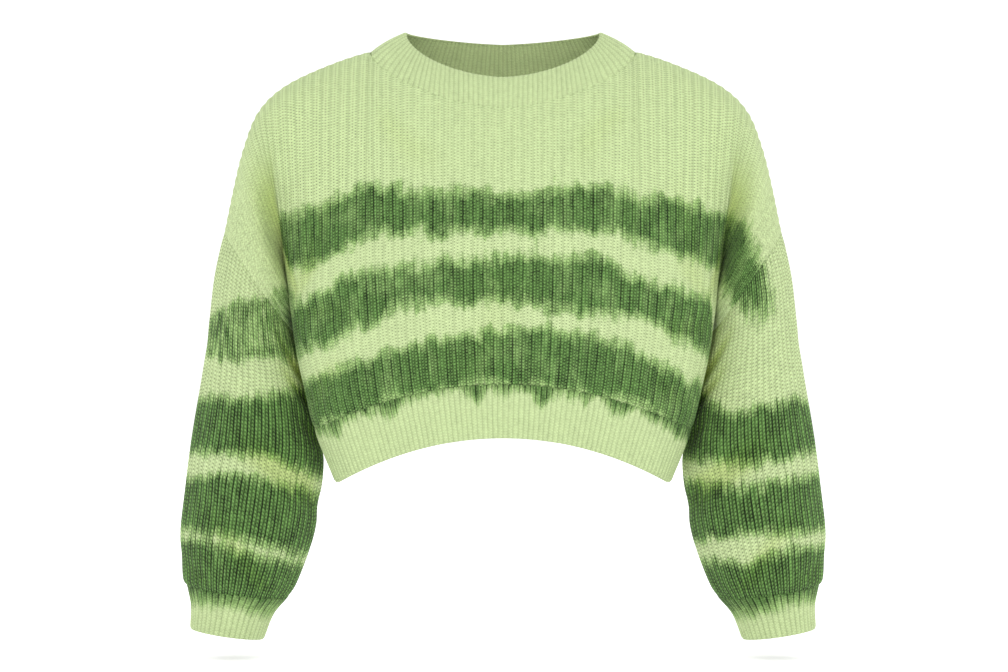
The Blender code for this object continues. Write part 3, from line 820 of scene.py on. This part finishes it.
def make_hem_band():
    quarter = HEM_RIBS * RIB_COLUMNS // 4
    shares = np.arange(quarter + 1) / quarter
    levels = np.linspace(HEM_EDGE, HEM_JOIN, BAND_ROWS + 1)
    points = np.array(
        [whole_loop(lambda face, _count: ring_points(level, shares, face), quarter) for level in levels]
    )
    # The loop starts at the back and runs by the wearer's left.
    around = np.roll(points, -1, axis=1) - np.roll(points, 1, axis=1)
    normals = unit(np.stack([-around[..., 1], around[..., 0], 0 * around[..., 0]], axis=-1))
    lengths = lengths_along(points)
    points[-1, :, 2] += SEAM_LAP
    pull = edge_roll(lengths) + seam_pull(lengths[-1] - lengths) * BAND_PULL
    ribs = np.arange(points.shape[1]) / RIB_COLUMNS
    crest = rib_profile(ribs) * BAND_RELIEF
    walls = ribbed_wall(points, normals, -pull, crest)
    dye = np.where(points[..., 1] < 0, panel_dye(points, "front"), panel_dye(points, "back"))
    return shell("hem_knit", walls, 0, lengths, tags_for(dye + dye_streaks(ribs)))


def make_neckband():
    quarter = NECKBAND_RIBS * RIB_COLUMNS // 4
    seam, edge = whole_loop(neckline_quarter, quarter), whole_loop(collar_quarter, quarter)
    normals = whole_loop(neck_seam_normals, quarter)
    share = np.linspace(0, 1, BAND_ROWS + 1)[:, None, None]
    points = seam + (edge - seam) * share
    points = points + normals * COLLAR_BULGE * np.sin(share * math.pi)
    lengths = lengths_along(points)
    points[0] -= unit(edge - seam) * SEAM_LAP
    pull = seam_pull(lengths) * BAND_PULL + edge_roll(lengths[-1] - lengths)
    ribs = np.arange(points.shape[1]) / RIB_COLUMNS
    crest = rib_profile(ribs) * NECKBAND_RELIEF * fading(lengths, *NECKBAND_CREST)
    middle = points - normals * pull[..., None]
    outer = middle + normals * crest[..., None]
    # Its inside shows in the neck opening, so it has a little of the ribs too.
    inner = middle - normals * (WALL - NECKBAND_RELIEF + crest)[..., None]
    walls = (outer, inner[:, ::NECKBAND_INNER_STEP])
    return shell("neckband_knit", walls, 0, lengths, tags_for(np.full(lengths.shape, UNDYED)))


# ---- node trees

SWING = 2.6  # brings the noise's narrow middle range up to its full amount


class Value:
    """A node's result. Python's operators on it add Math nodes to its tree."""

    def __init__(self, socket):
        self.socket, self.tree = socket, socket.id_data

    def __add__(self, other):
        return maths("ADD", self, other)

    def __sub__(self, other):
        return maths("SUBTRACT", self, other)

    def __rsub__(self, other):
        return maths("SUBTRACT", other, self)

    def __mul__(self, other):
        return maths("MULTIPLY", self, other)

    def __truediv__(self, other):
        return maths("DIVIDE", self, other)


def put_all(node, values):
    """Links each value to the node's input of that name, or sets the input to a constant."""
    for name, value in values.items():
        if isinstance(value, Value):
            value.tree.links.new(value.socket, node.inputs[name])
        else:
            node.inputs[name].default_value = value


def new_node(tree, kind, inputs, output=0, **settings):
    """The wanted output of a new node."""
    made = tree.nodes.new(f"ShaderNode{kind}")
    for name, setting in settings.items():
        setattr(made, name, setting)
    put_all(made, inputs)
    return Value(made.outputs[output])


def maths(operation, *values, clamp=False):
    tree = next(value.tree for value in values if isinstance(value, Value))
    return new_node(tree, "Math", dict(enumerate(values)), operation=operation, use_clamp=clamp)


def vector(*parts):
    return new_node(parts[0].tree, "CombineXYZ", dict(enumerate(parts)))


def attribute(tree, name):
    return new_node(tree, "Attribute", {}, "Fac", attribute_name=name)


def swing(noise, amount):
    """The noise moved to run from about -amount to amount."""
    return (noise - 0.5) * (SWING * amount)


def wave(value):
    """1 at whole numbers, falling to 0 halfway between them."""
    return maths("COSINE", value * (2 * math.pi)) * 0.5 + 0.5


def arch(value):
    """0 at whole numbers, rising to 1 halfway between them."""
    return maths("SINE", maths("FRACT", value) * math.pi)


def bell(value, centre, width):
    """1 at the centre, falling to 0 at this distance from it."""
    apart = maths("ABSOLUTE", value - centre)
    near = maths("SUBTRACT", 1.0, apart / width, clamp=True)
    return near * near


def ramp(factor, stops):
    made = factor.tree.nodes.new("ShaderNodeValToRGB")
    put_all(made, {"Fac": factor})
    elements = made.color_ramp.elements
    while len(elements) < len(stops):
        elements.new(0.5)
    for element, (place, colour) in zip(elements, stops):
        element.position = place
        element.color = (*colour, 1.0)
    return Value(made.outputs["Color"])


def shaded(colour, shade):
    """The colour in shade, which takes most from its blue and least from its green."""
    left = vector(*(1.0 - shade * part for part in SHADE_PARTS))
    return new_node(colour.tree, "VectorMath", {0: colour, 1: left}, operation="MULTIPLY")


# ---- how the knit looks

# Each noise: cells per rib or stitch column, of which grain and fibre have the look's grain_cells times
# as many, then cells per mm or stitch, what it adds to the seed, and its detail
NOISES = {
    "broad_creep": (0.13, 0.012, 3.1, 2.0),
    "group_creep": (0.5, 0.045, 7.7, 3.0),
    "rib_creep": (3.71, 0.035, 12.9, 1.0),
    "streak_creep": (1.4, 0.03, 15.1, 2.0),
    "grain_creep": (5.0, 0.4, 19.3, 2.0),
    "patches": (0.42, 0.022, 23.7, 3.0),
    "jitter": (5.3, 0.006, 0.0, 1.0),
    "grain": (1.0, 0.62, 31.0, 2.0),
    "fibre": (3.0, 1.7, 37.0, 2.0),
    "rib_tone": (7.13, 0.014, 41.0, 1.0),
    "column_tone": (3.37, 0.03, 43.0, 1.0),
    "stitch_tone": (3.71, 2.93, 47.0, 1.0),
    "tangle": (3.0, 0.46, 53.0, 1.0),
}
CREEPS = [kind for kind in NOISES if kind.endswith("creep")]

# How each kind of knit looks. columns: stitch columns in a rib. course: height of a stitch in mm. fade:
# how far outside its edge the dye starts, and in how many mm it comes in. The creeps move that edge in
# mm. bump is in metres. Most others are shares of the cloth's own brightness.
PANEL_LOOK = dict(
    columns=3, course=3.0, slant=1.0, grain_cells=6.0, groove_width=0.2, bump=0.0008,
    groove=0.32, edge_light=0.22, hole=0.5, loop=0.34, line=0.18, strand=0.14,
    rib_tone=0.7, column_tone=0.22, stitch_tone=0.22, grain=0.3, fibre=0.36, tangle=0.6,
    plain_contrast=0.5, dyed_contrast=1.2, glint=1.9, least_dye=0.42, patches=1.1, fade=(6.5, 16.0),
    broad_creep=5.0, group_creep=9.0, rib_creep=3.5, streak_creep=7.5, grain_creep=5.0,
)
SLEEVE_LOOK = dict(
    PANEL_LOOK, columns=2, course=3.7, slant=0.9, bump=0.0011,
    groove=0.5, edge_light=0.2, hole=0.62, loop=0.2, line=0.5, strand=0.2,
    column_tone=0.3, stitch_tone=0.34, fibre=0.45,
    plain_contrast=0.6, dyed_contrast=1.0, glint=1.8, least_dye=0.62,
    broad_creep=4.0, group_creep=5.0,
)
BAND_LOOK = dict(
    PANEL_LOOK, columns=2, course=2.8, grain_cells=3.4, groove_width=0.3, bump=0.0005,
    groove=0.55, edge_light=0.3, hole=0.2, loop=0.1, line=0.12, strand=0.08,
    rib_tone=0.35, grain=0.24, fibre=0.24, fade=(7.0, 16.0),
    group_creep=6.0, rib_creep=3.0, streak_creep=8.0,
)
CUFF_LOOK = dict(
    BAND_LOOK, plain_contrast=0.6, fade=(6.0, 18.0), broad_creep=4.0, group_creep=3.0, streak_creep=5.0
)

COURSES_OUT_OF_STEP = 5.0  # the most that a stitch column is shifted, in stitches
# Means over a stitch, taken off so that stitches leave the cloth's brightness as it is
STRAND_MEAN, LOOP_MEAN, LINE_MEAN, HOLE_MEAN = 0.64, 0.25, 0.5, 0.14
LIT_EDGE, LIT_EDGE_WIDTH = 0.2, 0.12  # where in a rib its lit edge is
PLAIN_GLINT, PLAIN_HOLE = 0.25, 0.15  # what is left of them on undyed knit and on flat knit
LEAST_TONE = 0.12
WOOL = {
    "Roughness": 0.92, "Specular IOR Level": 0.15,
    "Sheen Weight": 0.1, "Sheen Roughness": 0.5, "Sheen Tint": (0.85, 0.95, 0.7, 1),
}
BUMP_STRENGTH = 0.7


def knit_material(name, look, seed):
    """Rib knit: stitch columns along each rib, dye that crept along them, short fibre."""
    material = bpy.data.materials.new(name)
    material.use_nodes = True
    tree = material.node_tree
    knit = new_node(tree, "UVMap", {}, "UV", uv_map="knit")
    rib, length = (new_node(tree, "SeparateXYZ", {0: knit}, axis) for axis in "XY")
    rib_number = maths("FLOOR", rib)
    column = rib * look["columns"]
    column_number = maths("FLOOR", column)

    def noise(kind, across=rib, along=length, fineness=1.0):
        """Smooth noise from 0 to 1."""
        across_cells, along_cells, own_seed, detail = NOISES[kind]
        place = vector(across * (across_cells * fineness), along * along_cells, seed + own_seed)
        inputs = {"Vector": place, "Scale": 1.0, "Detail": detail, "Roughness": 0.6}
        return new_node(tree, "TexNoise", inputs, "Fac")

    def varied(kind, *place):
        """That noise, made to run from about -1 to 1 times its amount in the look."""
        return swing(noise(kind, *place), look[kind])

    # Stitches: two slanting strands that meet in a V, a hole at its foot, a lit loop over it
    course = length / look["course"] + noise("jitter", column_number) * COURSES_OUT_OF_STEP
    slanted = course + maths("PINGPONG", column, 0.5) * look["slant"]
    strand = arch(slanted)
    line, foot = wave(column), wave(course + look["slant"] / 2)
    between = 1.0 - line
    hole = between * between * foot * foot
    loop = between * (1.0 - foot)

    # Dye: 0 to 1. It creeps along the ribs, so its edges are soft and uneven.
    depth = attribute(tree, "dye_depth")
    for kind in CREEPS:
        depth = depth + varied(kind, rib_number if kind == "rib_creep" else rib)
    before, fade = look["fade"]
    soaked = maths("DIVIDE", depth + before, fade, clamp=True)
    even = noise("patches") * look["patches"] + look["least_dye"]
    dye = maths("MULTIPLY", soaked, even, clamp=True)

    # Painted light and shade of grooves, holes, strands, lines between columns, loops and lit rib edges,
    # with tone that differs at random by grain, fibre, rib, column and stitch, all as a share of the
    # colour. The hollows are deeper where the dye has gone in, and the loops that stand out have stayed
    # lighter there.
    grain, fibre = (noise(kind, fineness=look["grain_cells"]) for kind in ("grain", "fibre"))
    show = attribute(tree, "rib_show")
    unseen = maths("SUBTRACT", 1.0, show, clamp=True)
    matted = unseen * CAP_GRAIN + 1.0
    own = (varied("rib_tone", rib_number) + 1.0) * show
    hollows = (
        bell(maths("PINGPONG", rib, 0.5), 0.0, look["groove_width"]) * own * -look["groove"]
        + (strand - STRAND_MEAN) * look["strand"]
        + swing(grain, look["grain"]) * matted
        + varied("stitch_tone", column_number, maths("FLOOR", slanted))
        + swing(fibre, look["fibre"]) * matted
    )
    glints = (
        bell(maths("FRACT", rib), LIT_EDGE, LIT_EDGE_WIDTH) * own * look["edge_light"]
        + (loop - LOOP_MEAN) * look["loop"]
        + (line - LINE_MEAN) * -look["line"]
        + varied("column_tone", column_number)
    )
    holes = (hole - HOLE_MEAN) * (show + PLAIN_HOLE) * -look["hole"]
    deeper = dye * look["dyed_contrast"] + look["plain_contrast"]
    tone = holes + 1.0 + varied("tangle") * unseen + hollows * deeper
    tone = tone + glints * (dye * look["glint"] + PLAIN_GLINT)
    toned = {0: ramp(dye, DYE_COLOURS), "Scale": maths("MAXIMUM", tone, LEAST_TONE)}
    colour = new_node(tree, "VectorMath", toned, operation="SCALE")

    # The stitches' own relief, too fine for the mesh
    height = (strand * 0.6 + 0.4) * arch(column) + hole * -0.6 + grain * matted * 0.5 + fibre * 0.3
    bump = {"Height": height, "Distance": look["bump"], "Strength": BUMP_STRENGTH}
    surface = {
        **WOOL,
        "Base Color": shaded(colour, attribute(tree, "shade")),
        "Normal": new_node(tree, "Bump", bump, "Normal"),
    }
    put_all(tree.nodes["Principled BSDF"], surface)
    return material


# ---- stage, lights and camera


def make_stage():
    """A pale floor just under the cuffs."""
    mesh = bpy.data.meshes.new("studio_floor")
    mesh.from_pydata(FLOOR_CORNERS, [], [(0, 1, 2, 3)])
    material = bpy.data.materials.new("floor_paper")
    material.use_nodes = True
    put_all(material.node_tree.nodes["Principled BSDF"], FLOOR_PAPER)
    mesh.materials.append(material)
    new_object("studio_floor", mesh)


def area_light(name, place, aim, size, power):
    data = bpy.data.lights.new(name, "AREA")
    data.shape = "RECTANGLE"
    data.size, data.size_y = size, size
    data.energy = power
    lamp = new_object(name, data)
    x, y, z = np.subtract(aim, place)
    pitch, yaw = math.atan2(z, math.hypot(x, y)), math.atan2(y, x)
    lamp.location = place
    lamp.rotation_euler = (math.pi / 2 + pitch, 0.0, yaw - math.pi / 2)


def make_lights():
    world = bpy.data.worlds.new("studio")
    bpy.context.scene.world = world
    world.use_nodes = True
    put_all(world.node_tree.nodes["Background"], STUDIO_AIR)
    for light in LIGHTS:
        area_light(*light)
    # Plain display colours, so that white paper shows white
    bpy.context.scene.view_settings.view_transform = "Standard"


def make_camera():
    data = bpy.data.cameras.new("camera")
    data.sensor_width = SENSOR_WIDTH
    data.lens = SENSOR_WIDTH * CAMERA_DISTANCE / PICTURE_WIDTH
    camera = new_object("camera", data)
    camera.location = (CAMERA_OUT, -CAMERA_DISTANCE, -CAMERA_DROP)
    camera.rotation_euler = (math.pi / 2, 0.0, 0.0)
    bpy.context.scene.camera = camera


# ---- the jumper

# Each piece as it lies flat: width and length in metres, then its area where that is less
PANEL_FLAT = ((0.62, 0.4), 0.205)
SLEEVE_FLAT = ((0.41, 0.33), 0.12)
CUFF_FLAT = ((0.28, 0.045),)
HEM_FLAT = ((0.82, 0.06),)
NECKBAND_FLAT = ((0.62, 0.042),)


def place(piece, node, slot, material, flat, area=None):
    piece.data.materials.append(material)
    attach(piece, "root")
    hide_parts(node)


def make_jumper():
    panel = knit_material("panel", PANEL_LOOK, 1.3)
    sleeve = knit_material("sleeve", SLEEVE_LOOK, 5.9)
    band = knit_material("band", BAND_LOOK, 9.4)
    cuff = knit_material("cuff", CUFF_LOOK, 14.2)
    for face in ("front", "back"):
        place(make_panel(face), f"{face}_panel", "panel_knit", panel, *PANEL_FLAT)
    for side in ("left", "right"):
        place(make_tube("sleeve", side), f"sleeve_{side}", "sleeve_knit", sleeve, *SLEEVE_FLAT)
        place(make_tube("cuff", side), f"cuff_{side}", "band_knit", cuff, *CUFF_FLAT)
    place(make_hem_band(), "hem_band", "band_knit", band, *HEM_FLAT)
    place(make_neckband(), "neckband", "band_knit", band, *NECKBAND_FLAT)


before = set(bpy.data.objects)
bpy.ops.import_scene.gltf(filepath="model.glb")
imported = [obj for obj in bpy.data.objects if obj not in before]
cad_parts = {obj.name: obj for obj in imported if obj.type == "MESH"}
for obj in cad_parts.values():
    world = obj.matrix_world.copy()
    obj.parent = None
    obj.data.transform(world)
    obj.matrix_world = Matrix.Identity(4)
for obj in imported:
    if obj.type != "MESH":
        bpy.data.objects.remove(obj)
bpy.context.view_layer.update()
make_camera()
make_jumper()
make_stage()
make_lights()
